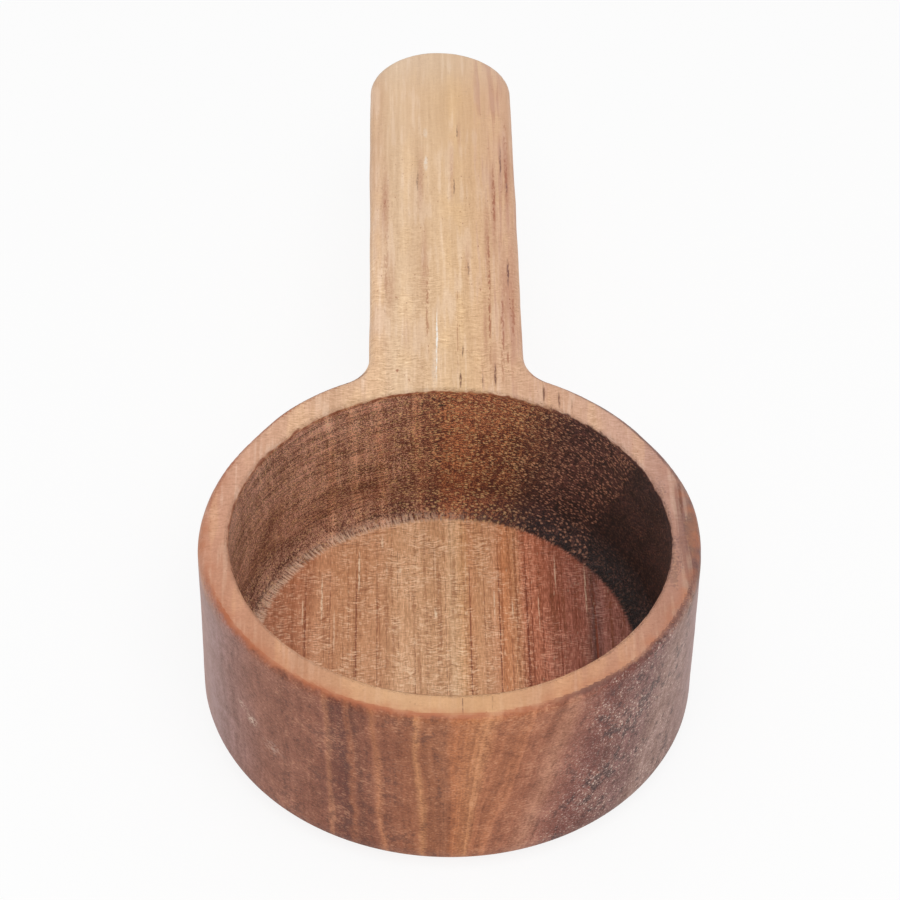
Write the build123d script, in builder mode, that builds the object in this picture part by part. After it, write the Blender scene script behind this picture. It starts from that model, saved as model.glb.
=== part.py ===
from build123d import *
import os

# Measuring scoop for ground coffee and dry goods, carved from one block of hardwood.
# Millimetres, +Z up. The origin is the centre of the flat base, the handle points along +Y,
# and the rim and the top of the handle lie in one plane.

# Bowl
bowl_diameter = 53
bowl_height = 23
bowl_wall = 3.2
floor_thickness = 5.5
cove_radius = 2.7
base_round = 3.5

# Shoulders, where the bowl is left a little fuller on its way into the handle
shoulder_reach = 27.7
shoulder_narrowing = 1.5
shoulder_blend = 4.6

# Handle
handle_width = 17.4
handle_reach = 89.2
root_thickness = 8.5
tip_thickness = 7
underside_round = 3

# Softened edges
outer_arris = 1
inner_arris = 0.4

# Worked out from the sizes above
bowl_radius = bowl_diameter / 2
cavity_radius = bowl_radius - bowl_wall
cavity_depth = bowl_height - floor_thickness
shoulder_radius = bowl_radius - shoulder_narrowing
shoulder_centre = shoulder_reach - shoulder_radius
tip_centre = handle_reach - handle_width / 2
handle_run = handle_reach - bowl_radius
handle_rise = root_thickness - tip_thickness

# Underside of the handle: a plane that rises from the bowl wall to the tip
underside = Plane(
    origin=(0, bowl_radius, bowl_height - root_thickness),
    x_dir=(1, 0, 0),
    z_dir=(0, -handle_rise, handle_run),
)

with BuildPart() as scoop:
    # Handle: a parallel bar with a full round end, sawn to its thickness from below
    with BuildSketch():
        with Locations((0, tip_centre / 2)):
            SlotCenterToCenter(tip_centre, handle_width, rotation=90)
    extrude(amount=bowl_height)
    split(bisect_by=underside, keep=Keep.TOP)
    fillet(scoop.faces().sort_by(Axis.Z)[0].edges(), radius=underside_round)

    # Bowl: a round block, drawn out into the shoulders by the hull around a second circle
    with BuildSketch() as bowl_plan:
        Circle(bowl_radius)
        with Locations((0, shoulder_centre)):
            Circle(shoulder_radius)
        make_hull(bowl_plan.edges())
    extrude(amount=bowl_height)

    # One hollow blend runs down each side of the handle and under its root
    fillet(scoop.edges(Select.NEW), radius=shoulder_blend)
    block_volume = scoop.part.volume

    # Measure: a straight-sided hollow with a coved corner at its floor
    with BuildSketch(Plane.XY.offset(floor_thickness)):
        Circle(cavity_radius)
    extrude(amount=cavity_depth, mode=Mode.SUBTRACT)
    floor_edge = scoop.edges(Select.LAST).filter_by(GeomType.CIRCLE).sort_by(Axis.Z)[0]
    fillet(floor_edge, radius=cove_radius)
    brimful_measure = block_volume - scoop.part.volume

    # Edges softened with abrasive: the rim's two arrises and the round of the base
    top_face = scoop.faces().sort_by(Axis.Z)[-1]
    fillet(top_face.outer_wire().edges(), radius=outer_arris)
    top_face = scoop.faces().sort_by(Axis.Z)[-1]
    fillet(top_face.inner_wires().edges(), radius=inner_arris)
    base_face = scoop.faces().sort_by(Axis.Z)[0]
    fillet(base_face.outer_wire().edges(), radius=base_round)

    scoop.part.label = "scoop"

print("brimful measure in cubic millimetres:", round(brimful_measure))
print("overall size in millimetres:", scoop.part.bounding_box().size)
print("centre of mass:", scoop.part.center(CenterOf.MASS))

os.makedirs("parts", exist_ok=True)
export_step(scoop.part, "parts/scoop.step")
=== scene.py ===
# %% [markdown]
# A carved wooden measuring scoop
#
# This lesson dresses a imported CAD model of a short-handled measuring scoop. The real one is
# carved from a single block of hardwood, so nearly everything that a viewer sees is wood: the
# growth rings, the pores, the darker end grain, and the marks that the cutter and the sandpaper
# left. The scoop is made twice over here: first its skin, from a rule, and then its wood, as a
# solid material that runs through the whole block.

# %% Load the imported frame
import math

import bpy
from mathutils import Matrix, Vector


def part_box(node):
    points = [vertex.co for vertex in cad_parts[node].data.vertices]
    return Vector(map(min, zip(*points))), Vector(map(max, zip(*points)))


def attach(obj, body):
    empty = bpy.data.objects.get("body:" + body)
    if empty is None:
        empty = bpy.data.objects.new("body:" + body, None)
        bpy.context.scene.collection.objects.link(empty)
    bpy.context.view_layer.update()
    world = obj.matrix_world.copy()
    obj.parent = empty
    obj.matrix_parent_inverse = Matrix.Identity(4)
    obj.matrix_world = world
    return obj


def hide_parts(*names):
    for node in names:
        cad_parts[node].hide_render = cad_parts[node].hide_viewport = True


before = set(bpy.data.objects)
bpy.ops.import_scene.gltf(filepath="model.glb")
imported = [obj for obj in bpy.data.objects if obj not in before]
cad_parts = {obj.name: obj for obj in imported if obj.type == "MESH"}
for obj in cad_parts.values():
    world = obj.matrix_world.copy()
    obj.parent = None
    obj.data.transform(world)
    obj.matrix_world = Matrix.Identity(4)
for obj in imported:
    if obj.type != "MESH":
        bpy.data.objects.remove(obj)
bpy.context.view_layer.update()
lowest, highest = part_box("scoop")
print("CAD box in metres:", [round(v, 4) for v in (*lowest, *highest)])

# %% [markdown]
# The sizes of the carving
#
# The block's outline comes from the frame: half the width is the bowl's radius, the top is the
# rim, and the far end is the tip of the handle. The sizes that a box can't tell, such as the
# wall and the roundings, are named here in metres. No hand-made scoop is quite the same on both
# sides, so the bowl's back, the shoulders and the handle all sit a hair to the right.

# %% Sizes of the carving
MM = 0.001
BOWL_WALL = 3.2 * MM
FLOOR_THICKNESS = 5.5 * MM
COVE_RADIUS = 2.7 * MM
BASE_ROUND = 3.5 * MM
SHOULDER_REACH = 27.7 * MM
SHOULDER_NARROWING = 1.5 * MM
SHOULDER_BLEND = 4.6 * MM
SHOULDER_LEAN = 0.25 * MM
BOWL_LEAN = 0.2 * MM
HANDLE_WIDTH = 17.4 * MM
HANDLE_LEAN = 0.1 * MM
ROOT_THICKNESS = 8.5 * MM
TIP_THICKNESS = 7 * MM
UNDERSIDE_ROUND = 3 * MM
OUTER_ARRIS = 1 * MM
INNER_ARRIS = 0.4 * MM

bowl_radius = (highest.x - lowest.x) / 2
handle_reach = highest.y
handle_run = handle_reach - bowl_radius
shoulder_radius = bowl_radius - SHOULDER_NARROWING
carving = {
    "Bowl radius": bowl_radius,
    "Bowl lean": BOWL_LEAN,
    "Hollow radius": bowl_radius - BOWL_WALL,
    "Rim height": highest.z,
    "Floor height": FLOOR_THICKNESS,
    "Cove": COVE_RADIUS,
    "Base round": BASE_ROUND,
    "Shoulder radius": shoulder_radius,
    "Shoulder centre": SHOULDER_REACH - shoulder_radius,
    "Shoulder lean": SHOULDER_LEAN,
    "Shoulder blend": SHOULDER_BLEND,
    "Handle half width": HANDLE_WIDTH / 2,
    "Handle lean": HANDLE_LEAN,
    "Tip centre": handle_reach - HANDLE_WIDTH / 2,
    "Root underside": highest.z - ROOT_THICKNESS,
    "Underside slope": (ROOT_THICKNESS - TIP_THICKNESS) / handle_run,
    "Underside round": UNDERSIDE_ROUND,
    "Outer arris": OUTER_ARRIS,
    "Inner arris": INNER_ARRIS,
}
print("bowl radius", round(bowl_radius / MM, 2), "mm, reach", round(handle_reach / MM, 2), "mm")

# %% [markdown]
# Writing nodes as sums
#
# A node tree is easier to read as arithmetic than as a list of boxes and cables. The class below
# wraps one output socket. Adding, taking away, multiplying or dividing wrapped sockets adds the
# Math nodes that do it. Every other node comes from one method, which takes the node's type,
# then its settings, then what goes into its sockets.

# %% A socket that can be used in a sum
def sum_of(operation, turned=False):
    """A method that adds one Math node, fed in the written order or turned round."""

    def method(self, *others):
        values = (*others, self) if turned else (self, *others)
        return self.tree.math(operation, *values)

    return method


class Wire:
    """One output socket, usable in Python arithmetic."""

    __add__ = sum_of("ADD")
    __radd__ = sum_of("ADD", turned=True)
    __sub__ = sum_of("SUBTRACT")
    __rsub__ = sum_of("SUBTRACT", turned=True)
    __mul__ = sum_of("MULTIPLY")
    __rmul__ = sum_of("MULTIPLY", turned=True)
    __truediv__ = sum_of("DIVIDE")
    __rtruediv__ = sum_of("DIVIDE", turned=True)
    __abs__ = sum_of("ABSOLUTE")
    min = sum_of("MINIMUM")
    max = sum_of("MAXIMUM")
    smooth_min = sum_of("SMOOTH_MIN")
    less_than = sum_of("LESS_THAN")
    power = sum_of("POWER")
    root = sum_of("SQRT")
    sign = sum_of("SIGN")

    def __init__(self, tree, socket):
        self.tree = tree
        self.socket = socket

    def __neg__(self):
        return self * -1

    def mapped(self, kind, low, high, at_low, at_high):
        sockets = {"Value": self, "From Min": low, "From Max": high}
        sockets.update({"To Min": at_low, "To Max": at_high})
        return self.tree.node("ShaderNodeMapRange", {"interpolation_type": kind}, sockets)

    def ramp(self, low, high, at_low=0.0, at_high=1.0):
        """One value below low, another above high, and an S-curve between."""
        return self.mapped("SMOOTHSTEP", low, high, at_low, at_high)

    def rescaled(self, low, high, at_low, at_high):
        """One value below low, another above high, and a straight line between."""
        return self.mapped("LINEAR", low, high, at_low, at_high)


# %% A tree that makes nodes from types, settings and socket values
class Tree:
    """A node tree whose nodes are made by the methods below."""

    def __init__(self, node_tree):
        self.node_tree = node_tree

    def node(self, kind, settings=None, sockets=None, output=0):
        made = self.node_tree.nodes.new(kind)
        for name, value in (settings or {}).items():
            if name == "stops":
                self.set_stops(made.color_ramp, value)
            else:
                setattr(made, name, value)
        for name, value in (sockets or {}).items():
            self.feed(self.input_of(made, name), value)
        return Wire(self, made.outputs[output])

    def input_of(self, made, name):
        if isinstance(name, int):
            return made.inputs[name]
        for socket in made.inputs:
            if socket.identifier == name:
                return socket
        return made.inputs[name]

    def feed(self, socket, value):
        if isinstance(value, Wire):
            self.node_tree.links.new(value.socket, socket)
        else:
            socket.default_value = value

    def set_stops(self, ramp, stops):
        while len(ramp.elements) < len(stops):
            ramp.elements.new(1)
        for element, (place, colour) in zip(ramp.elements, stops):
            element.position = place
            element.color = colour

    def math(self, operation, *values):
        return self.node("ShaderNodeMath", {"operation": operation}, dict(enumerate(values)))

    def vector(self, operation, *values, output=0):
        sockets = dict(enumerate(values))
        return self.node("ShaderNodeVectorMath", {"operation": operation}, sockets, output)

    def group(self, node_tree, sockets, output=0):
        return self.node("GeometryNodeGroup", {"node_tree": node_tree}, sockets, output)

    def scaled(self, vector, factor):
        """A vector or colour times one number."""
        made = self.vector("SCALE", vector)
        self.feed(made.socket.node.inputs["Scale"], factor)
        return made

    def mixed(self, factor, a, b):
        """Colour a where the factor is 0, and b where it is 1."""
        sockets = {"Factor_Float": factor, "A_Color": a, "B_Color": b}
        return self.node("ShaderNodeMix", {"data_type": "RGBA"}, sockets, output=2)

    def split(self, vector):
        parts = self.node("ShaderNodeSeparateXYZ", {}, {0: vector}).socket.node
        return [Wire(self, socket) for socket in parts.outputs]

    def join(self, x, y, z):
        return self.node("ShaderNodeCombineXYZ", {}, {0: x, 1: y, 2: z})


print("node helpers ready")

# %% [markdown]
# The carving as a rule
#
# A carver thinks of this shape as a few simple solids, blended by hand: a round block, a bar
# let into its side, and a round hollow cut from above. The same description works as a rule.
# For any point in space it says how far the point is from the wood: below zero inside, above
# zero outside. Two such distances can be joined or cut with a round of any radius between them,
# which is what a fillet is. A rule can also be asked for the surface's direction at any point.
#
# The simple formula for a round takes the two surfaces to meet square. The handle's sides meet
# the bowl at a wider angle, so their blend also takes the cosine between the two directions.
#
# Hand work adds the rest: long soft waves, fine ones from the sandpaper, a hollow whose front
# lies a hair nearer to the middle, and a torn upper edge where the cutter met end grain.

# %% Rounded joins and cuts of two distances
def hypot(a, b):
    return (a * a + b * b).root()


def angled_join(a, b, cosine, radius):
    """Both solids, blended with that radius where they meet, whatever their angle."""
    from_a = radius - a
    from_b = radius - b
    beside_a = (from_a - cosine * from_b).max(0)
    beside_b = (from_b - cosine * from_a).max(0)
    reach = ((from_a * beside_a + from_b * beside_b) / (1 - cosine * cosine)).max(0).root()
    in_corner = (beside_a * beside_b).sign()
    nearer = a.min(b)
    return nearer + in_corner * (radius - reach - nearer)


def rounded_cut(a, b, radius):
    """What both solids share, with its edge rounded to that radius."""
    corner = hypot((radius + a).max(0), (radius + b).max(0))
    return a.max(b).min(-radius) + corner


def ripple(place, wavelength, height, seed):
    """A smooth unevenness of about that height and wavelength."""
    sockets = {"Vector": place, "W": seed, "Scale": 1 / wavelength, "Detail": 1.0}
    noise = place.tree.node("ShaderNodeTexNoise", {"noise_dimensions": "4D"}, sockets)
    return (noise - 0.5) * (2 * height)


# %% The distance from any point to the scoop
HAND_WAVE = 11 * MM
HAND_WAVE_HEIGHT = 0.16 * MM
SAND_WAVE = 3.2 * MM
SAND_WAVE_HEIGHT = 0.035 * MM
TORN_WAVE = 0.8 * MM
TORN_HEIGHT = 0.1 * MM
TORN_DEPTH = 0.9 * MM
TORN_ALONG = 0.5
TORN_DOWN = 0.8
HOLLOW_SQUEEZE = 0.012
BACK_FROM = -0.2
BACK_TO = 0.4
SHOULDER_SOFTNESS = 0.2 * MM
RIPPLE_SEED = 7.0
NEARLY_ZERO = 0.001 * MM


def bowl_rule(size, x, y, z):
    """The round block, drawn out into the shoulders, and the sideways part of its direction."""
    back = y.ramp(size["Bowl radius"] * BACK_FROM, size["Bowl radius"] * BACK_TO)
    bowl_side = hypot(x - back * size["Bowl lean"], y) - size["Bowl radius"]
    beside = x - size["Shoulder lean"]
    from_shoulder = hypot(beside, y - size["Shoulder centre"])
    plan = bowl_side.smooth_min(from_shoulder - size["Shoulder radius"], SHOULDER_SOFTNESS)
    return rounded_cut(plan, -z, size["Base round"]), abs(beside) / from_shoulder.max(MM)


def handle_rule(size, x, y, z):
    """The round-ended bar, and how much of its direction is sideways there."""
    along = y.max(0).min(size["Tip centre"])
    side = hypot(x - size["Handle lean"], y - along) - size["Handle half width"]
    slope = size["Underside slope"]
    underside = size["Root underside"] + (y - size["Bowl radius"]) * slope - z
    underside = underside / (slope * slope + 1).root()
    near_side = (side + size["Underside round"]).max(0)
    near_underside = (underside + size["Underside round"]).max(0)
    sideways = near_side / hypot(near_side, near_underside).max(NEARLY_ZERO)
    return rounded_cut(side, underside, size["Underside round"]), sideways


def hollow_rule(size, x, y, z):
    """The hollow, its upper edge torn a little where the cutter met end grain."""
    radius = hypot(x, y + y.min(0) * HOLLOW_SQUEEZE)
    stretched = x.tree.join(x, y * TORN_ALONG, z * TORN_DOWN)
    torn = ripple(stretched, TORN_WAVE, TORN_HEIGHT, RIPPLE_SEED + 2)
    end_grain = (abs(y) / radius.max(MM)).ramp(0.3, 0.9)
    torn = torn * end_grain * z.ramp(size["Rim height"] - TORN_DEPTH, size["Rim height"])
    side = radius + torn - size["Hollow radius"]
    return rounded_cut(side, size["Floor height"] - z, size["Cove"])


def new_group(name, sizes):
    """A tree with a named input for each size, and those inputs as wires."""
    group = bpy.data.node_groups.new(name, "GeometryNodeTree")
    for label, value in sizes.items():
        kind = "NodeSocketFloat" if isinstance(value, float) else "NodeSocketVector"
        socket = group.interface.new_socket(label, in_out="INPUT", socket_type=kind)
        socket.default_value = value
    tree = Tree(group)
    entry = group.nodes.new("NodeGroupInput")
    return tree, {socket.name: Wire(tree, socket) for socket in entry.outputs if socket.name}


def finish_group(tree, kind, results):
    """Gives the tree an output of that kind for each result."""
    group = tree.node_tree
    for label in results:
        group.interface.new_socket(label, in_out="OUTPUT", socket_type=kind)
    leaving = group.nodes.new("NodeGroupOutput")
    for label, result in results.items():
        tree.feed(leaving.inputs[label], result)
    return group


def distance_group(name, with_hollow):
    """A node group that measures from a place to the surface of the scoop, or of its block."""
    tree, size = new_group(name, {"Place": (0, 0, 0), **carving})
    place = size["Place"]
    x, y, z = tree.split(place)
    bowl, bowl_sideways = bowl_rule(size, x, y, z)
    bar, bar_sideways = handle_rule(size, x, y, z)
    solid = angled_join(bowl, bar, bowl_sideways * bar_sideways, size["Shoulder blend"])
    solid = rounded_cut(solid, z - size["Rim height"], size["Outer arris"])
    if with_hollow:
        solid = rounded_cut(solid, -hollow_rule(size, x, y, z), size["Inner arris"])
    wave = ripple(place, HAND_WAVE, HAND_WAVE_HEIGHT, RIPPLE_SEED)
    wave = wave + ripple(place, SAND_WAVE, SAND_WAVE_HEIGHT, RIPPLE_SEED + 1)
    sitting = z.ramp(0, 2 * BASE_ROUND)
    return finish_group(tree, "NodeSocketFloat", {"Distance": solid + wave * sitting})


block_distance = distance_group("distance to the block", False)
scoop_distance = distance_group("distance to the scoop", True)
print("distance groups:", len(block_distance.nodes), "and", len(scoop_distance.nodes), "nodes")

# %% [markdown]
# From the rule to a skin
#
# The skin is made the way the scoop is. First the block without its hollow: the tree fills a box
# with small cells, asks the rule for the distance in each one, and skins the cells where the
# distance passes zero. Then a round cutter takes the hollow out. Its rings stand close together
# at the rim, so the fine inner edge gets all the points it needs.
#
# Both skins are a little rough, so each point is then moved along the rule's own slope until it
# lies on the surface, twice over. The same slope, taken a hair's breadth away on four sides, is
# the direction in which the surface faces, and it is stored as the normal, so that even the
# narrow rounding of the rim shades cleanly.

# %% Nearest point and facing direction
TETRAHEDRON = ((1, -1, -1), (-1, -1, 1), (-1, 1, -1), (1, 1, 1))
HAIR = 0.05 * MM


def surface_group():
    """A node group that moves a place onto the surface and gives the surface's direction."""
    tree, sizes = new_group("onto the surface", carving)
    place = tree.node("GeometryNodeInputPosition")
    slope = (0, 0, 0)
    total = 0
    for corner in TETRAHEDRON:
        beside = tree.vector("ADD", place, tuple(HAIR * side for side in corner))
        reading = tree.group(scoop_distance, {"Place": beside, **sizes})
        slope = tree.vector("ADD", tree.scaled(corner, reading), slope)
        total = reading + total
    facing = tree.vector("NORMALIZE", slope)
    step = tree.scaled(facing, total * (-1 / len(TETRAHEDRON)))
    results = {"Nearest": tree.vector("ADD", place, step), "Facing": facing}
    return finish_group(tree, "NodeSocketVector", results)


onto_surface = surface_group()
print("surface group:", len(onto_surface.nodes), "nodes")

# %% The block's skin
CELL = 0.43 * MM
MARGIN = 1.2 * MM
BLURRED_CELLS = 4
HALF_FULL = 0.5


def block_skin(tree, inputs, cell):
    """A mesh round the block, from small cells that know their distance."""
    low = [side - MARGIN for side in lowest]
    high = [side + MARGIN for side in highest]
    place = tree.node("GeometryNodeInputPosition")
    reading = tree.group(block_distance, {"Place": place, **inputs})
    density = (HALF_FULL - reading / (cell * BLURRED_CELLS)).max(0).min(1)
    sockets = {"Density": density, "Min": low, "Max": high}
    for axis, start, end in zip("XYZ", low, high):
        sockets["Resolution " + axis] = math.ceil((end - start) / CELL)
    cells = tree.node("GeometryNodeVolumeCube", {}, sockets)
    sockets = {"Volume": cells, "Threshold": HALF_FULL}
    return tree.node("GeometryNodeVolumeToMesh", {"resolution_mode": "GRID"}, sockets)


# %% The cutter that takes out the hollow
ROUND_SEGMENTS = 576
WALL_RINGS = 44
FLOOR_RINGS = 22
FLOOR_RING_POWER = 0.6
COARSE_SHARE = 0.72
FINE_DEPTH = 0.9 * MM
ABOVE_RIM = 0.6 * MM
CUT_MARGIN = 1.2 * MM
CUT_DEPTH = 2 * MM
LEVEL_FROM = 0.93


def hollow_cutter(tree, size):
    """A round cutter as wide as the hollow, flared at the rim, where its rings stand close."""
    sockets = {"Vertices": ROUND_SEGMENTS, "Side Segments": WALL_RINGS, "Depth": 1.0}
    sockets["Fill Segments"] = FLOOR_RINGS
    blank = tree.node("GeometryNodeMeshCylinder", {"fill_type": "TRIANGLE_FAN"}, sockets)
    x, y, z = tree.split(tree.node("GeometryNodeInputPosition"))
    share = z + 0.5
    fine_from = size["Rim height"] - FINE_DEPTH
    coarse = share.rescaled(0, COARSE_SHARE, size["Floor height"], fine_from)
    fine = share.rescaled(COARSE_SHARE, 1, 0, FINE_DEPTH + ABOVE_RIM)
    height = coarse + fine
    flare = (height - size["Rim height"] + size["Inner arris"]).max(0)
    radius = hypot(x, y).power(FLOOR_RING_POWER) * (size["Hollow radius"] + flare)
    level = tree.scaled(tree.vector("NORMALIZE", tree.join(x, y, 0)), radius)
    place = tree.vector("ADD", level, tree.join(0, 0, height))
    return tree.node("GeometryNodeSetPosition", {}, {"Geometry": blank, "Position": place})


def made_by_cutter(tree, size):
    """Whether a face of the hollowed block lies in the hollow, its flared edge included."""
    x, y, z = tree.split(tree.node("GeometryNodeInputPosition"))
    upward = tree.split(tree.node("GeometryNodeInputNormal"))[2]
    near_axis = hypot(x, y).less_than(size["Hollow radius"] + CUT_MARGIN)
    above_base = (size["Floor height"] * 0.5).less_than(z)
    below_rim = z.less_than(size["Rim height"] - CUT_DEPTH)
    sloping = upward.less_than(LEVEL_FROM)
    return near_axis * above_base * below_rim.max(sloping)


# %% Carve the scoop
def carving_tree(outside, inside):
    """The modifier's tree: block, hollow, two steps onto the surface, normals, materials."""
    tree, inputs = new_group("carve the scoop", {**carving, "Cell": CELL})
    cell = inputs.pop("Cell")
    skin = tree.node(
        "GeometryNodeMeshBoolean",
        {"operation": "DIFFERENCE", "solver": "MANIFOLD"},
        {"Mesh 1": block_skin(tree, inputs, cell), "Mesh 2": hollow_cutter(tree, inputs)},
    )
    skin = tree.node(
        "GeometryNodeStoreNamedAttribute",
        {"data_type": "BOOLEAN", "domain": "FACE"},
        {"Geometry": skin, "Name": "hollow", "Value": made_by_cutter(tree, inputs)},
    )
    for _ in range(2):
        onto = tree.group(onto_surface, inputs)
        skin = tree.node("GeometryNodeSetPosition", {}, {"Geometry": skin, "Position": onto})
    skin = tree.node(
        "GeometryNodeSetMeshNormal",
        {"mode": "FREE", "domain": "POINT"},
        {"Mesh": skin, "Custom Normal": tree.group(onto_surface, inputs, output=1)},
    )
    skin = tree.node("GeometryNodeRealizeInstances", {}, {"Geometry": skin})
    sockets = {"Name": "hollow"}
    hollow = tree.node("GeometryNodeInputNamedAttribute", {"data_type": "BOOLEAN"}, sockets)
    skin = tree.node("GeometryNodeSetMaterial", {}, {"Geometry": skin, "Material": outside})
    sockets = {"Geometry": skin, "Selection": hollow, "Material": inside}
    skin = tree.node("GeometryNodeSetMaterial", {}, sockets)
    return finish_group(tree, "NodeSocketGeometry", {"Geometry": skin})


def new_object(name, data):
    """An object with that data, in the scene."""
    made = bpy.data.objects.new(name, data)
    bpy.context.scene.collection.objects.link(made)
    return made


def carve(outside, inside):
    """The scoop's skin as a plain mesh object, with a wood for its outside and its hollow."""
    block = new_object("carving_block", bpy.data.meshes.new("carving_block"))
    modifier = block.modifiers.new("carve", "NODES")
    modifier.node_group = carving_tree(outside, inside)
    for item in modifier.node_group.interface.items_tree:
        if item.in_out == "INPUT":
            modifier[item.identifier] = carving.get(item.name, CELL)
    evaluated = block.evaluated_get(bpy.context.evaluated_depsgraph_get())
    mesh = bpy.data.meshes.new_from_object(evaluated)
    bpy.data.objects.remove(block)
    if mesh.materials[0] is None:
        mesh.materials.pop(index=0)
    mesh.name = "carved_scoop"
    return new_object("carved_scoop", mesh)


# %% [markdown]
# One wood, all the way through
#
# A carved scoop shows one piece of wood from every side, so its pattern is not wrapped round the
# skin but stands in space, as it does in a real block. The material reads the object's own
# coordinates. The grain runs along the handle, which is the y axis, and the growth rings stand
# nearly upright, so a ring is met again on the rim, on the floor of the hollow and on the front
# wall. The rings lean, most of all to the right of the middle, and they get darker there, towards
# the heart of the tree. All the sizes in the next cells are millimetres, and the tones are given
# as they look. Each colour is built in layers: how far a layer covers, and what its tone is.

# %% Tones, and the place of a point in the rings
RIM = highest.z / MM
RINGS_FROM = -28
RINGS_TO = 34
LEFT_LEAN = -0.04
RIGHT_LEAN = 0.25
NOISE_SPREAD = 10
DARKEST = 0.2
GREEN_POWER = 1.3
BLUE_POWER = 1.6


def tone(red, green, blue):
    """A colour as it looks, 0 to 255, as the linear light that a shader works in."""
    return tuple(((part / 255 + 0.055) / 1.055) ** 2.4 for part in (red, green, blue)) + (1,)


def pattern(place, size):
    """The sockets of a pattern that has the three sizes as its units."""
    shrunk = place.tree.vector("MULTIPLY", place, tuple(1 / side for side in size))
    return {"Vector": shrunk, "Scale": 1.0}


def uneven(place, size, detail=1.0, roughness=0.5):
    """Smooth noise about zero, mostly within 1 of it, its lumps as large as the three sizes."""
    sockets = {**pattern(place, size), "Detail": detail, "Roughness": roughness}
    noise = place.tree.node("ShaderNodeTexNoise", {}, sockets)
    return (noise - 0.5) * NOISE_SPREAD


def specks(place, size, reach, share):
    """Scattered small spots, one in each cell of that size, on that share of the cells."""
    tree = place.tree
    spot = tree.node("ShaderNodeTexVoronoi", {}, pattern(place, size))
    chance = tree.split(Wire(tree, spot.socket.node.outputs["Color"]))[0]
    return (1 - spot.ramp(0.4 * reach, reach)) * chance.ramp(1 - share, 1.02 - share)


def shaded(colour, light):
    """That colour lighter or darker, and redder where it is darker, as oiled wood is."""
    light = light.max(DARKEST)
    tint = light.tree.join(light, light.power(GREEN_POWER), light.power(BLUE_POWER))
    return light.tree.vector("MULTIPLY", colour, tint)


def layered(colour, *layers):
    """That colour under some layers, each given as how far it covers and what its colour is."""
    for cover, layer in layers:
        colour = colour.tree.mixed(cover, colour, layer)
    return colour


def ring_place(place, x, z):
    """Where a point lies in the rings, which lean a little left, more right, and waver."""
    lean = LEFT_LEAN + x.ramp(-1.5, 4) * (RIGHT_LEAN - LEFT_LEAN)
    waver = uneven(place, (5, 45, 9)) * 0.16
    fray = uneven(place, (0.8, 9, 1.6)) * 0.06
    return x + lean * (RIM - z) + waver + fray


def ring_tones(ring, rows):
    """A colour that changes from ring to ring, from rows of a place and its tone."""
    width = RINGS_TO - RINGS_FROM
    stops = [((place - RINGS_FROM) / width, tone(*parts)) for place, *parts in rows]
    share = ring.rescaled(RINGS_FROM, RINGS_TO, 0, 1)
    return ring.tree.node("ShaderNodeValToRGB", {"stops": stops}, {"Fac": share})


print("a middle brown in linear light:", [round(part, 3) for part in tone(150, 100, 75)[:3]])

# %% [markdown]
# Marks of single pores
#
# Most of the wood's marks can be left to chance, but the eye remembers the few long dark pores
# and the one white line of the handle. Each of those is a long thin ellipse: its place, half its
# length, half its width, and how strongly it shows. A fine noise breaks it up, because a pore is
# cut open here and there and dives under the surface between. The scuffs on the front wall and
# the small knots inside the back wall are short ellipses, placed by x and height.

# %% Long thin marks
def marks(place, ellipses, core=0.3):
    """How strongly a place is covered by any of the ellipses."""
    cover = 0
    for x, y, half_length, half_width, strength in ellipses:
        scale = (1 / half_width, 1 / half_length, 0)
        shift = (-x / half_width, -y / half_length, 0)
        moved = place.tree.vector("MULTIPLY_ADD", place, scale, shift)
        near = place.tree.vector("LENGTH", moved, output=1)
        cover = near.ramp(core, 1.0, strength, 0.0).max(cover)
    return cover


TOP_DARK = [
    (1.27, 71.6, 1.9, 0.16, 0.7), (0.89, 60.6, 2.3, 0.16, 0.7), (-3.48, 61.7, 2.7, 0.17, 0.6),
    (6.47, 65.3, 4.3, 0.14, 0.8), (7.19, 60.3, 1.6, 0.16, 0.7), (2.52, 44.8, 1.7, 0.15, 0.85),
    (7.08, 44.1, 3.4, 0.19, 1), (1.8, 30, 1.4, 0.14, 0.8), (1.57, 25, 2.1, 0.17, 1),
    (5.46, 25.8, 2.7, 0.18, 1), (4.02, 24.7, 1.7, 0.12, 0.6), (10.75, 22.6, 2, 0.2, 0.9),
    (12.4, 21.5, 1.8, 0.16, 0.85), (13.85, 20.4, 1.7, 0.12, 0.5), (24.9, 5.5, 4.5, 0.3, 0.8),
    (1.6, -24.6, 2.2, 0.1, 0.7), (4.55, -24.1, 1.8, 0.1, 0.35),
]
TOP_RED = [
    (4.9, 40, 19, 0.22, 0.75), (1.25, 35, 13.5, 0.1, 0.5), (-2.2, 38.5, 11, 0.24, 0.6),
    (6.86, 28.8, 2.2, 0.15, 0.7), (-5.8, 39.5, 0.35, 0.2, 0.8), (3.9, 41, 0.5, 0.2, 0.7),
    (-5.5, 26.5, 0.4, 0.22, 0.8), (-4.2, 24.9, 0.35, 0.2, 0.6), (-2, 30.5, 1.2, 0.2, 0.8),
    (-10.9, 22.8, 1.8, 0.1, 0.5), (6.3, 33, 12, 0.3, 0.7), (5.6, 58, 9, 0.3, 0.7),
    (7.1, 66, 11, 0.25, 0.7), (7.6, 36, 8, 0.3, 0.6), (-7, 46, 12, 0.4, 0.35),
    (-7.3, 57, 1, 0.2, 0.8),
]
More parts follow.
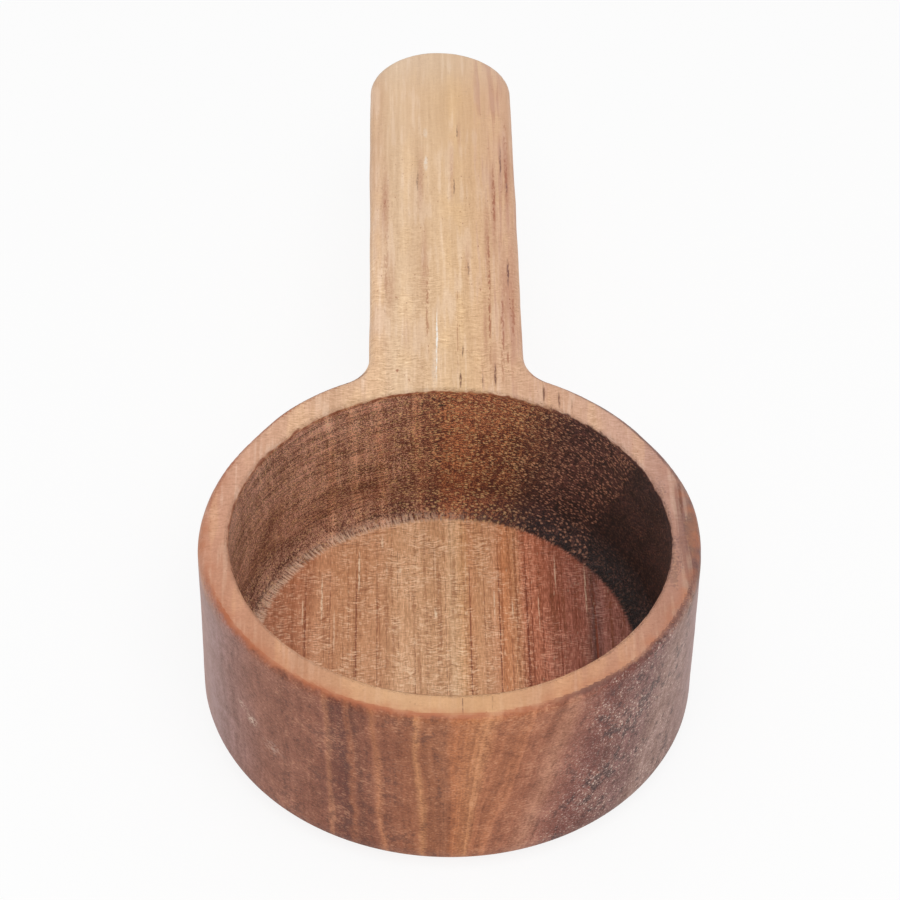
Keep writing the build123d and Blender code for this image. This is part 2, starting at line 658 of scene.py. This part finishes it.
TOP_STREAKS = [
    (-7.3, 57, 9, 0.7, 0.75), (-3.1, 62, 9, 0.55, 0.6), (-2.6, 46, 10, 0.7, 0.55),
    (0.6, 64, 11, 0.5, 0.45), (1.5, 71, 5, 0.35, 0.45), (4.7, 50, 12, 0.45, 0.7),
    (5.6, 56, 14, 0.5, 0.8), (7.2, 62, 15, 0.6, 0.9), (6.6, 40, 14, 0.8, 0.7),
    (4.4, 34, 9, 0.4, 0.6), (7.6, 40, 20, 0.9, 0.6), (-6.4, 42, 8, 0.8, 0.35),
    (2.4, 46, 6, 0.5, 0.35), (5.4, 28, 6, 0.5, 0.5), (-4.6, 33, 6, 0.9, 0.25),
]
TOP_WHITE = [
    (-1.1, 31, 8, 0.13, 0.9), (-1.1, 32.5, 4, 0.16, 1), (-1.35, 27, 5, 0.5, 0.12),
    (-2.6, 71.4, 1.4, 0.35, 0.2), (-2.5, 65.2, 2, 0.35, 0.35),
]
FLOOR_DARK = [
    (-12.9, 5, 16, 0.09, 0.5), (-10, 3, 17, 0.12, 0.75), (-7.7, 2, 19, 0.09, 0.5),
    (-3.55, -3, 12, 0.08, 0.5), (-0.1, 0, 21, 0.09, 0.4), (2.6, 0, 21, 0.11, 0.7),
    (5.85, 0, 21, 0.1, 0.8), (8.9, 0, 20, 0.15, 1), (9.4, 0, 20, 0.08, 0.8),
    (12.5, 0, 18, 0.11, 0.9), (16.4, 0, 14, 0.17, 0.9), (7.1, -4, 9, 0.08, 0.5),
    (10.6, 0, 18, 0.09, 0.6), (-15.6, 2, 12, 0.14, 0.6), (4.2, 6, 10, 0.07, 0.4),
    (-5.4, 12, 8, 0.08, 0.4), (14.3, 0, 16, 0.1, 0.6),
]
FLOOR_LIGHT = [
    (-9.7, 12.7, 4.3, 0.14, 1), (-13.8, 8.2, 4.6, 0.14, 0.9), (-7.1, 17.2, 1.5, 0.14, 0.8),
    (-5.1, 12.9, 0.8, 0.14, 0.8), (-1.2, 6.2, 1.1, 0.18, 1), (-6.6, 12.7, 1.9, 0.1, 0.6),
    (12.2, 12.4, 3.2, 0.1, 0.6), (15.5, 9.5, 5, 0.12, 0.65), (5.3, 7.2, 3.3, 0.1, 0.7),
    (7.3, 6.3, 1.8, 0.1, 0.6), (-1.2, 14, 4, 0.1, 0.5), (-12.4, 3, 4, 0.1, 0.6),
    (2.2, 13, 5, 0.08, 0.4), (-15.9, 6, 3, 0.1, 0.7), (10.2, 6, 4, 0.08, 0.5),
]
SCUFFS = [(-21.5, 13.2, 0.7, 0.8, 0.8), (-20.5, 12.4, 1, 0.9, 0.8), (-18.4, 10.8, 1.3, 1.5, 0.4)]
KNOTS = [(-0.6, 20.7, 0.3, 0.42, 0.9), (-1.4, 21.6, 0.25, 0.35, 0.5), (6, 20.9, 0.3, 0.4, 0.5)]
top_count = sum(len(group) for group in (TOP_DARK, TOP_RED, TOP_STREAKS, TOP_WHITE))
print("single marks:", top_count, "on top,", len(FLOOR_DARK) + len(FLOOR_LIGHT), "on the floor")

# %% [markdown]
# Long grain
#
# Where the surface lies along the fibres, as on the handle, the rim, the sides and the base, oiled
# wood stays light and golden. Streaks of several widths run along it, and across them goes a
# fine ripple that comes from the rays of the tree. The front of the rim, which hands and dry
# goods rub most, has turned a little more orange, and the tip of the handle is painted a little
# paler, as painted light that washes it out.

# %% Tones and streaks of long grain
FRONT_TINT = (0.86, 0.63, 0.5)
LONG_TONES = [
    (-26, 206, 150, 122), (-22, 208, 156, 127), (-14, 212, 166, 132), (-8, 216, 173, 137),
    (-6, 226, 188, 150), (-5, 224, 186, 148), (-3, 220, 180, 141), (-1, 224, 184, 143),
    (1.5, 216, 174, 131), (4, 219, 175, 133), (6, 217, 172, 136), (8, 212, 166, 132),
    (12, 208, 160, 128), (16, 206, 160, 133), (22, 194, 147, 126), (24, 186, 139, 120),
    (25, 130, 90, 80), (31, 126, 88, 80),
]


def long_grain(tree, place, ring, y):
    """The colour of a surface along the fibres, and its relief."""
    broad = uneven(place, (1.6, 50, 3), detail=2)
    streak = uneven(place, (0.55, 14, 0.55), detail=2, roughness=0.6)
    fibre = uneven(place, (0.17, 1.5, 0.17))
    blotch = uneven(place, (2.4, 6, 2.4))
    grain = uneven(place, (0.25, 0.4, 0.25))
    bent = tree.vector("ADD", place, tree.join(0, blotch * 0.16 + grain * 0.03, 0))
    rays = uneven(bent, (0.8, 0.16, 0.8)) * (0.85 + blotch * 0.3).max(0.2)
    near_root = 1 - y.ramp(34, 64)
    worn = 1 - y.ramp(-10, 24)
    at_tip = y.ramp(56, 78)
    light = 1.12 - worn * 0.12 + broad * 0.035
    light = light + (streak * 0.035 + fibre * 0.022 * (1 - at_tip * 0.5)) * (1 - worn * 0.75)
    light = light + rays * (0.018 + near_root * 0.06) * (1 - worn * 0.6)
    light = light + grain * 0.025 * (1 - at_tip) + worn * blotch * 0.03
    colour = layered(
        ring_tones(ring, LONG_TONES),
        ((blotch * 0.7 + broad).ramp(0.2, 1.8) * 0.2, tone(232, 186, 132)),
        ((blotch * -0.7 + streak).ramp(0.4, 1.9) * 0.25, tone(236, 204, 178)),
    )
    red_streaks = (streak * 0.7 + broad * 0.5).ramp(-0.2, 1.3) * ring.ramp(2.6, 5.2)
    red_streaks = red_streaks * (1 - ring.ramp(9, 14) * 0.6) * (1 - worn)
    open_pores = specks(place, (0.42, 0.9, 0.42), 0.22, 0.45)
    dotted = (grain * 0.3 + streak * 0.6 + blotch * 0.5).ramp(0, 0.9) * 0.5
    dotted = dotted + red_streaks * 0.5 + 0.1
    dotted = open_pores * dotted * (1 - at_tip * 0.8) * (1 - worn * 0.4)
    heart_blots = (blotch * 0.6 + grain * 0.3 + broad * 0.3).ramp(0, 1) * ring.ramp(21, 24)
    colour = layered(
        shaded(colour, light),
        (red_streaks * 0.55, tone(184, 122, 96)),
        (dotted, tone(170, 102, 68)),
        (heart_blots * 0.55, tone(104, 72, 70)),
    )
    front = 1 - y.ramp(-25, 11)
    golden = front * (1 - abs(ring + 1).ramp(4, 14))
    colour = layered(
        colour,
        (front * 0.65, tree.vector("MULTIPLY", colour, FRONT_TINT)),
        (golden * 0.4, tone(230, 182, 134)),
        # Painted light: the tip of the handle is washed paler.
        (y.ramp(78, 88) * 0.2, tone(240, 226, 212)),
    )
    return colour, fibre * 0.003 + grain * 0.004 - open_pores * 0.03 + rays * 0.004


# %% [markdown]
# End grain
#
# On the front and back of the bowl the fibres are cut across. Cut fibres drink the oil, so the
# wood turns a deep brown there, and each growth ring shows as an upright band. Near the heart, on
# the right, the wood is a cold dark brown, dotted with the pale ends of filled pores.

# %% Tones and bands of end grain
# The rows at the far left and far right are a pale mauve grey, painted grazing sheen where the
# wall turns away.
END_TONES = [
    (-26, 190, 162, 166), (-23.5, 180, 136, 128), (-20, 176, 118, 97), (-14.4, 168, 106, 82),
    (-13.3, 160, 98, 77), (-12.9, 214, 148, 111), (-12.5, 144, 84, 62), (-11, 129, 69, 52),
    (-10.5, 186, 117, 81), (-10, 142, 83, 60), (-8.4, 165, 100, 73), (-7.9, 210, 140, 98),
    (-7.4, 167, 102, 72), (-4.3, 178, 110, 73), (-3.8, 228, 162, 112), (-3.3, 180, 113, 74),
    (-1.1, 181, 116, 79), (0, 208, 132, 84), (2.6, 213, 142, 93), (4.1, 226, 159, 110),
    (5.4, 202, 129, 88), (7, 190, 120, 81), (8, 211, 138, 96), (9, 194, 124, 90),
    (10.6, 182, 115, 85), (12.3, 212, 152, 124), (13.6, 184, 121, 103), (16, 143, 82, 72),
    (18.4, 140, 84, 75), (22, 153, 112, 109), (24, 186, 152, 145), (28, 168, 132, 126),
]


def end_grain(tree, place, ring):
    """The colour of a surface across the fibres, and its relief."""
    dashes = uneven(place, (0.45, 0.45, 0.17))
    mottle = uneven(place, (1.3, 1.3, 1.3), detail=2)
    cloud = uneven(place, (5, 5, 4))
    crumbs = uneven(place, (0.22, 0.22, 0.15))
    threads = uneven(tree.join(ring, 0, tree.split(place)[2]), (0.45, 1, 16))
    heart = ring.ramp(11, 17)
    brown = 1 - ring.ramp(-2, 0)
    # Zero at the far left, where the painted sheen is left smooth; the dark, pale and gritty marks
    # below fade out there.
    away_from_sheen = ring.ramp(-22, -17)
    light = 0.69 + dashes * 0.05 + mottle * 0.045 + cloud * 0.04 + threads * 0.05 + crumbs * 0.06
    dark = mottle * -0.7 - dashes * 0.35 - crumbs * 0.2 + cloud * 0.5 - threads * 0.2
    dark = dark.ramp(0.3, 1.8) * (0.12 + brown * 0.24 * away_from_sheen + heart * 0.55)
    pale = (dashes + mottle * 0.5 + cloud * 0.3).ramp(1.2, 2.3)
    pale = pale * (0.35 - heart * 0.2) * away_from_sheen
    grit = uneven(place, (0.17, 0.3, 0.17)) + cloud * 0.2 + mottle * 0.25
    grit = grit.ramp(0.4, 1.2) * (0.28 + heart * 0.25) * away_from_sheen
    ends = specks(place, (0.4, 0.5, 0.34), 0.36, 0.7)
    ends = ends * (0.2 + heart * (0.5 + cloud * 0.3 + mottle * 0.25).max(0.05)) * away_from_sheen
    colour = layered(
        shaded(ring_tones(ring, END_TONES), light),
        (dark, tree.mixed(heart, tone(92, 56, 46), tone(52, 38, 38))),
        (pale, tone(206, 152, 116)),
        (grit * 0.6, tree.mixed(heart, tone(198, 142, 108), tone(206, 176, 160))),
        (ends.min(1) * 0.8, tree.mixed(heart, tone(214, 156, 118), tone(228, 200, 184))),
    )
    return colour, dashes * 0.004 + grit * 0.02 + ends * 0.03


# %% [markdown]
# Inside the hollow
#
# The wall of the hollow was cut by a round cutter and sanded less than the outside. It is mostly
# end grain, rough, and it drank the most oil, so it is the darkest part, and it is drawn darker
# still towards its foot as painted shade. Small beads lie along it where the cutter raised the
# fibres, painted bright as glints, and the raised fibres between carry painted highlights, least
# on the core at the far right. The floor is long grain again, but browner than the rim, with dark
# lines that come out at the front and a few pale dashes, and it is drawn a little lighter towards
# the front as painted light.

# %% Tones of the hollow's wall and floor
WALL_TONES = [
    (-24, 172, 120, 100), (-14, 176, 118, 92), (-13.2, 214, 152, 118), (-12.5, 170, 112, 86),
    (-11.2, 166, 107, 82), (-10.6, 210, 148, 112), (-9.9, 170, 110, 83), (-8.4, 166, 105, 78),
    (-7.8, 204, 138, 102), (-7, 162, 100, 75), (-4.2, 156, 94, 68), (-3.6, 190, 120, 85),
    (-2.8, 148, 83, 60), (-1.3, 134, 73, 55), (-0.2, 166, 94, 62), (3, 166, 92, 62),
    (4.4, 162, 90, 62), (6, 146, 76, 52), (9, 120, 61, 46), (12, 90, 48, 42), (14, 72, 42, 40),
    (18, 58, 37, 36), (20.3, 62, 41, 39), (20.5, 44, 32, 33), (30, 62, 46, 46),
]
FLOOR_TONES = [
    (-22, 182, 118, 87), (-17, 190, 124, 88), (-15, 212, 151, 112), (-12, 207, 148, 107),
    (-8, 210, 153, 112), (-6.6, 222, 170, 128), (-4, 222, 171, 129), (-2.2, 214, 162, 120),
    (0, 221, 169, 126), (1.6, 228, 182, 140), (3.4, 226, 175, 130), (4.8, 222, 166, 118),
    (6.4, 210, 147, 104), (7.6, 216, 158, 114), (8.8, 216, 158, 116), (9.8, 214, 152, 112),
    (10.6, 210, 136, 90), (12.2, 211, 147, 105), (13.4, 190, 115, 82), (15, 184, 108, 78),
    (16.4, 170, 99, 74), (17.9, 156, 89, 68), (19.5, 149, 84, 65), (20.4, 132, 77, 60),
    (20.9, 106, 63, 54), (22, 156, 94, 78), (30, 136, 80, 68),
]


def hollow_wall(tree, place, rolled, ring, z):
    """The colour of the wall inside, its relief, and its beads of raised fibre, painted bright as
    glints.
    """
    folds = uneven(rolled, (0.5, 0.8, 0.13))
    scored = uneven(rolled, (6, 3, 0.17))
    crumbs = uneven(place, (0.15, 0.2, 0.1))
    waves = uneven(place, (2.4, 6, 0.9))
    cloud = uneven(place, (5, 5, 3))
    threads = uneven(tree.join(ring, 0, z), (0.35, 1, 9))
    heart = ring.ramp(8, 16)
    core = ring.ramp(20.2, 20.8)
    central = ring.ramp(-9, -2)
    rough = crumbs * 0.7 + folds * (0.1 + central * 0.4)
    light = 1 + rough * 0.24 + waves * 0.1 + cloud * 0.09 + threads * 0.06
    light = light + scored * (0.12 - central * 0.09)
    # Painted shade: the wall is darker towards its foot and lighter towards the rim.
    light = light * z.rescaled(6, 22, 0.78, 1.46) * (1 - central * 0.22)
    pits = (rough * -1 - waves * 0.08 - scored * (0.3 - central * 0.3)).ramp(0.1, 0.9)
    # Painted highlights: the raised fibres take a pale golden tone where they would catch the
    # light.
    raised_highlights = (rough + waves * 0.1 + cloud * 0.1 + threads * 0.25 - core * 0.5).ramp(0.35, 0.9)
    raised_highlights = raised_highlights * (0.75 - heart * 0.2) * z.rescaled(7, 13, 0.4, 1)
    highlight_tone = tree.mixed(ring.ramp(-6, 0), tone(252, 206, 170), tone(246, 166, 106))
    # Painted glints: beads of raised fibre in a near-white tone, which also get relief and a
    # little more gloss.
    bead_glints = specks(rolled, (0.44, 0.8, 0.23), 0.5, 0.85)
    bead_glints = bead_glints * (0.9 + crumbs * 0.5).max(0.2).min(1)
    bead_glints = bead_glints * (0.5 + central * 0.5) * (1 - core * 0.8) * z.rescaled(6, 9, 0.5, 1)
    colour = layered(
        shaded(ring_tones(ring, WALL_TONES), light),
        (pits * (0.7 - core * 0.35), tree.mixed(heart, tone(74, 36, 26), tone(36, 24, 24))),
        (raised_highlights, tree.mixed(heart, highlight_tone, tone(158, 100, 82))),
        (bead_glints, tree.mixed(heart, tone(255, 210, 146), tone(226, 162, 130))),
    )
    return colour, rough * 0.03 + waves * 0.02 + bead_glints * 0.04, bead_glints


def hollow_floor(tree, place, ring, y):
    """The colour of the floor, and its relief."""
    streak = uneven(place, (0.4, 20, 0.4), detail=2, roughness=0.6)
    fibre = uneven(place, (0.14, 0.9, 0.14))
    blotch = uneven(place, (2.6, 5, 2.6))
    wander = uneven(place, (0.9, 1.6, 0.9))
    bend = tree.join(fibre * 0.01, blotch * 0.12 + wander * 0.04, 0)
    bent = tree.vector("ADD", place, bend)
    fleck = uneven(bent, (0.65, 0.13, 0.65)) * (1 + blotch * 0.4).max(0.3)
    # Painted light: the floor is drawn a little lighter towards the front of the hollow.
    painted_front_light = 1 - y.ramp(-18, 6)
    heart = ring.ramp(9, 14)
    light = 1.03 + streak * (0.06 + heart * 0.09) + fibre * (0.08 + heart * 0.07)
    light = light + fleck * 0.1 + blotch * 0.04 + painted_front_light * 0.05
    brown = (streak * -1 - fleck * 0.4 - wander * 0.3).ramp(0.6, 2.0)
    dark = marks(bent, FLOOR_DARK) * (fibre * -1 - fleck * 0.4).ramp(-2.6, 0)
    chips = specks(place, (0.4, 1.8, 0.4), 0.2, 0.3)
    crests = (fleck * 0.8 + fibre * 0.5).ramp(0.8, 1.6) * (0.4 - ring.ramp(10, 16) * 0.25)
    pale = marks(bent, FLOOR_LIGHT, 0.5) * (fibre + fleck * 0.6).ramp(-2.0, 0.3)
    pale = pale.max(chips * 0.35).max(crests)
    colour = layered(
        shaded(ring_tones(ring, FLOOR_TONES), light),
        (brown * 0.35, tone(156, 88, 56)),
        ((dark * 1.1).min(0.9), tone(132, 62, 38)),
        (pale * (0.9 - ring.ramp(15, 19) * 0.3), tone(255, 226, 192)),
    )
    return colour, fibre * 0.004 + fleck * 0.008 - dark * 0.03 + pale * 0.02


# %% [markdown]
# Putting the faces together
#
# The outside and the hollow each have a material of their own, with two shaders in it. Outside,
# the surface's direction tells whether it cuts the fibres or lies along them. In the hollow, the
# distance from the axis tells the floor from the wall. The softened outer edge has been rubbed to
# a warm orange brown, the inner edge is torn and reddish below the light wood of the top, and the
# bowl's sides are a mauve grey, painted grazing sheen and shade over their side grain. Where the
# floor meets the wall, a ring of fine raised fibres has stayed pale.

# %% A shader for one kind of face, and where a point is
def satin(tree, colour, roughness, relief):
    """Oiled wood of that colour, with a relief in millimetres."""
    bump = tree.node("ShaderNodeBump", {}, {"Distance": MM, "Height": relief})
    sockets = {"Base Color": colour, "Roughness": roughness, "Normal": bump}
    return tree.node("ShaderNodeBsdfPrincipled", {}, sockets)


def new_wood(name):
    """A material, its tree, a point's place in millimetres and how the surface faces there."""
    material = bpy.data.materials.new(name)
    material.use_nodes = True
    material.node_tree.nodes.clear()
    tree = Tree(material.node_tree)
    own = tree.node("ShaderNodeTexCoord").socket.node
    place = tree.scaled(Wire(tree, own.outputs["Object"]), 1 / MM)
    return material, tree, place, Wire(tree, own.outputs["Normal"])


def finish_wood(tree, share, first, second):
    """Gives the material its surface, which is the second shader on that share of it."""
    mixed = tree.node("ShaderNodeMixShader", {}, {0: share, 1: first, 2: second})
    output = tree.node_tree.nodes.new("ShaderNodeOutputMaterial")
    tree.feed(output.inputs["Surface"], mixed)
    print("nodes in the wood:", len(tree.node_tree.nodes))


# %% The outside
FLAT_RIM = (bowl_radius - OUTER_ARRIS) / MM
BOWL_ENDS = (27.3, 28.5)
RIM_SIDE = (24.2, 26.4)
GRAIN_LEAN = 0.015
LEAN_FROM = 23
RUBBED = tone(176, 96, 56)
HEART_EDGE = tone(104, 60, 52)
# A mauve grey for the bowl's sides: painted grazing sheen and shade over the side grain.
SIDE_SHEEN = tone(176, 140, 134)[:3]


def marked_top(tree, place, colour, y, z):
    """That colour with the streaks and single marks of the top over it."""
    wobble = uneven(place, (0.6, 2.5, 0.6)) * 0.02
    sawn = tree.vector("ADD", place, tree.join((y - LEAN_FROM) * -GRAIN_LEAN, 0, 0))
    sawn = tree.vector("ADD", sawn, tree.join(wobble, 0, 0))
    near_top = z.ramp(RIM - 1.3, RIM - 0.5)
    broken = 0.3 + uneven(place, (0.2, 0.7, 0.2)).ramp(-1.6, 0.4) * 0.7
    beaded = uneven(place, (0.2, 0.6, 0.2)) * 0.7 + uneven(place, (0.5, 3, 0.5)) * 0.8
    streaks = marks(sawn, TOP_STREAKS, 0) * near_top * (0.25 + broken * 0.6)
    red = marks(sawn, TOP_RED) * (beaded.ramp(-0.6, 0.9) * near_top)
    broken = broken * near_top
    white = (marks(sawn, TOP_WHITE) * broken * 1.3).min(0.95)
    dark_tone = tree.mixed(y.ramp(33, 40), tone(104, 58, 40), tone(112, 70, 62))
    return layered(
        colour,
        (streaks, tone(184, 124, 98)),
        (red, tone(164, 94, 62)),
        (marks(sawn, TOP_DARK) * broken * 0.9, dark_tone),
        (white, tone(255, 248, 240)),
    )


def outside_wood():
    """Handle, rim, outer wall and base."""
    material, tree, place, facing = new_wood("oiled_hardwood")
    x, y, z = tree.split(place)
    across, along, upward = tree.split(facing)
    ring = ring_place(place, x, z)
    from_axis = hypot(x, y)
    on_bowl = 1 - from_axis.ramp(*BOWL_ENDS)
    crossing = abs(along) / hypot(across, along).max(0.05)
    tilt = 1 - upward
    ragged = uneven(place, (1.8, 1.8, 1.8), detail=2)
    frayed = uneven(place, (0.5, 0.5, 0.5))
    below_rim = RIM - z + ragged * 0.06 + frayed * 0.06
    round_edge = from_axis - FLAT_RIM + (RIM - z) * 0.6 + ragged * 0.1 + frayed * 0.07
    past_edge = round_edge.ramp(0.2, 0.9) * tilt.ramp(0.01, 0.18) * on_bowl
    underneath = (upward * -1).ramp(0.45, 0.93)
    cut_across = crossing.ramp(0.12, 0.55) * below_rim.ramp(0.4, 1.2).max(past_edge)
    cut_across = cut_across * (1 - underneath)
    edge = round_edge.ramp(-0.2, 0.3) * (1 - round_edge.ramp(0.6, 1.3)) * tilt.ramp(0.002, 0.06)
    edge = edge * crossing.ramp(0.05, 0.5) * on_bowl
    edge = edge * (0.8 + uneven(place, (3, 3, 3), detail=2) * 0.25).max(0.3).min(1)
    edge_tone = tree.mixed(x.ramp(6, 14), RUBBED, HEART_EDGE)

    colour, relief = long_grain(tree, place, ring, y)
    colour = marked_top(tree, place, colour, y, z)
    rim_side = from_axis.ramp(*RIM_SIDE) * on_bowl * z.ramp(RIM - 1, RIM - 0.4)
    rim_side = rim_side * (1 - y.ramp(4, 16))
    # The bowl's sides below the rim take the mauve grey of painted grazing sheen and shade.
    bowl_side = below_rim.ramp(1, 2.4) * on_bowl * (1 - abs(upward).ramp(0.5, 0.9))
    sheen_light = 1 + uneven(place, (0.4, 7, 0.4), detail=2) * 0.07 + ragged * 0.04
    sheen_light = sheen_light + uneven(place, (0.22, 0.6, 0.22)) * 0.05
    colour = layered(
        colour,
        (rim_side * (0.35 + ragged * 0.25).max(0).min(0.8), tone(190, 116, 78)),
        (edge * 0.8, edge_tone),
        (bowl_side * 0.85, shaded(SIDE_SHEEN, sheen_light)),
    )
    lengthwise = satin(tree, colour, 0.5, relief)

    colour, relief = end_grain(tree, place, ring)
    scratches = uneven(tree.join(x + z * 0.5, y, z), (0.35, 0.5, 0.2)).ramp(-0.6, 0.8)
    scuffed = marks(tree.join(x, z, 0), SCUFFS, 0) * (1 - y.ramp(-14, -10)) * scratches
    colour = layered(colour, (edge * 0.8, edge_tone), (scuffed, tone(226, 196, 176)))
    crosswise = satin(tree, colour, 0.56, relief)
    finish_wood(tree, cut_across, lengthwise, crosswise)
    return material


# %% The hollow
FLAT_RADIUS = (bowl_radius - BOWL_WALL - COVE_RADIUS) / MM
TORN_LIGHT = tone(214, 132, 80)
TORN_DARK = tone(150, 78, 44)
FUZZ = tone(244, 206, 176)


def hollow_wood():
    """Wall and floor of the hollow, with its upper edge."""
    material, tree, place, _ = new_wood("oiled_hollow")
    x, y, z = tree.split(place)
    ring = ring_place(place, x, z)
    from_axis = hypot(x, y)
    round_about = tree.math("ARCTAN2", x, y) * FLAT_RADIUS
    rolled = tree.join(round_about, from_axis, z)
    hairs = uneven(rolled, (0.17, 1.3, 1.3))
    radius = from_axis + hairs * 0.08 + x.ramp(6, 20) * 0.4
    on_floor = 1 - radius.ramp(FLAT_RADIUS, FLAT_RADIUS + 0.6)
    on_floor = on_floor * (1 - z.ramp(RIM - 3, RIM - 2))
    fuzz = radius.ramp(FLAT_RADIUS - 0.1, FLAT_RADIUS + 0.4)
    fuzz = fuzz * (1 - radius.ramp(FLAT_RADIUS + 0.7, FLAT_RADIUS + 1.8))
    fuzz = fuzz * (1 - x.ramp(-9, 9)) * (1 - z.ramp(7, 8)) * (0.5 + hairs * 0.4).max(0).min(1)

    colour, relief, bead_glints = hollow_wall(tree, place, rolled, ring, z)
    tufts = uneven(tree.join(round_about, 0, z), (1.1, 1, 0.5))
    torn = 1 - (RIM - z + tufts * 0.15).ramp(0.2, 0.8)
    torn_tone = layered(
        tree.mixed(tufts.ramp(-1.2, 1.4), TORN_DARK, TORN_LIGHT),
        (1 - y.ramp(-18, -6), RUBBED),
        (x.ramp(4, 16), HEART_EDGE),
    )
    near_top = (z + tufts * 0.08).ramp(RIM - 0.32, RIM - 0.12)
    colour = layered(
        colour,
        (marks(tree.join(x, z, 0), KNOTS) * y.ramp(0, 5), tone(44, 22, 20)),
        (fuzz * 0.8, FUZZ),
        (torn * (0.8 - x.ramp(4, 16) * 0.35), torn_tone),
        (near_top, long_grain(tree, place, ring, y)[0]),
    )
    wall = satin(tree, colour, 0.55 - bead_glints * 0.1, relief)

    colour, relief = hollow_floor(tree, place, ring, y)
    floor = satin(tree, tree.mixed(fuzz * 0.8, colour, FUZZ), 0.5, relief)
    finish_wood(tree, on_floor, wall, floor)
    return material


# %% Carve it and give it its wood
scoop = carve(outside_wood(), hollow_wood())
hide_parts("scoop")
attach(scoop, "root")
triangles = sum(len(face.vertices) - 2 for face in scoop.data.polygons)
print("scoop:", len(scoop.data.vertices), "points,", triangles, "triangles")
print("materials:", [wood.name for wood in scoop.data.materials])

# %% [markdown]
# A white studio
#
# The scoop stands a hair above white paper, under a large soft light in front. That light reaches
# the back wall of the hollow directly, and the white all round lights the rest. What the camera
# sees of the paper is mostly plain white, so that the wood stands out, but a share of it still
# takes light and shadow, so the scoop's own soft shadow stays under it.

# %% White paper
PAPER_REACH = 3.0
PAPER_GAP = 0.02 * MM
PAPER_WHITE = (0.95, 0.95, 0.95, 1)
PAPER_PLAIN = 0.86
CORNERS = [(-1, -1), (1, -1), (1, 1), (-1, 1)]
WHITE = (1, 1, 1, 1)

floor_mesh = bpy.data.meshes.new("paper")
points = [(PAPER_REACH * x, PAPER_REACH * y, -PAPER_GAP) for x, y in CORNERS]
floor_mesh.from_pydata(points, [], [(0, 1, 2, 3)])
floor = new_object("paper", floor_mesh)


def white_paper():
    """Paper that the camera sees nearly white, with a faint shadow."""
    material = bpy.data.materials.new("white_paper")
    material.use_nodes = True
    tree = Tree(material.node_tree)
    matt = tree.node("ShaderNodeBsdfDiffuse", {}, {"Color": PAPER_WHITE})
    plain = tree.node("ShaderNodeEmission", {}, {"Color": WHITE})
    seen = tree.node("ShaderNodeLightPath")
    mixed = tree.node("ShaderNodeMixShader", {}, {0: seen * PAPER_PLAIN, 1: matt, 2: plain})
    output = material.node_tree.nodes["Material Output"]
    tree.feed(output.inputs["Surface"], mixed)
    return material


floor_mesh.materials.append(white_paper())
print("paper:", 2 * PAPER_REACH, "m wide")

# %% White all round, and one soft light in front and above
ROUND_LIGHT = 0.6
SOFTBOX_SIZE = 0.4
SOFTBOX_POWER = 1.18
SOFTBOX_PLACE = Vector((0.03, -0.22, 0.46))
SOFTBOX_AIM = Vector((0, 0.02, 0.01))

world = bpy.data.worlds.new("studio")
world.use_nodes = True
bpy.context.scene.world = world
sky = Tree(world.node_tree)
seen = sky.node("ShaderNodeLightPath")
background = world.node_tree.nodes["Background"]
sky.feed(background.inputs["Strength"], ROUND_LIGHT + seen * (1 - ROUND_LIGHT))
sky.feed(background.inputs["Color"], WHITE)

softbox_light = bpy.data.lights.new("softbox", "AREA")
softbox_light.shape = "SQUARE"
softbox_light.size = SOFTBOX_SIZE
softbox_light.energy = SOFTBOX_POWER
softbox = new_object("softbox", softbox_light)
softbox.location = SOFTBOX_PLACE
softbox.rotation_euler = (SOFTBOX_AIM - SOFTBOX_PLACE).to_track_quat("-Z", "Y").to_euler()
print("softbox", round(SOFTBOX_PLACE.length, 2), "m away")

# %% [markdown]
# The camera
#
# The camera stands where the photograph's camera stood, found by fitting the rim, the base and the
# handle of the scoop to the photograph. Its focal length is in pixels of a picture 900 wide.

# %% Camera
AZIMUTH = math.radians(-1.668)
ELEVATION = math.radians(41.869)
ROLL = math.radians(1.134)
DISTANCE = 335.56 * MM
AIM = Vector((0.216, 13.25, 23.04)) * MM
FOCAL_PIXELS = 3097.9
FRAME_PIXELS = 900
SENSOR_WIDTH = 36

level = math.cos(ELEVATION)
back = Vector((math.sin(AZIMUTH) * level, -math.cos(AZIMUTH) * level, math.sin(ELEVATION)))
side = Vector((0, 0, 1)).cross(back).normalized()
up = back.cross(side)
cosine = math.cos(ROLL)
sine = math.sin(ROLL)
side, up = cosine * side + sine * up, cosine * up - sine * side
camera_data = bpy.data.cameras.new("camera")
camera_data.sensor_width = SENSOR_WIDTH
camera_data.lens = SENSOR_WIDTH * FOCAL_PIXELS / FRAME_PIXELS
camera = new_object("camera", camera_data)
turned = Matrix((side, up, back)).transposed().to_4x4()
camera.matrix_world = Matrix.Translation(AIM + back * DISTANCE) @ turned
bpy.context.scene.camera = camera
bpy.context.scene.view_settings.view_transform = "Standard"
print("focal length", round(camera_data.lens, 1), "mm")
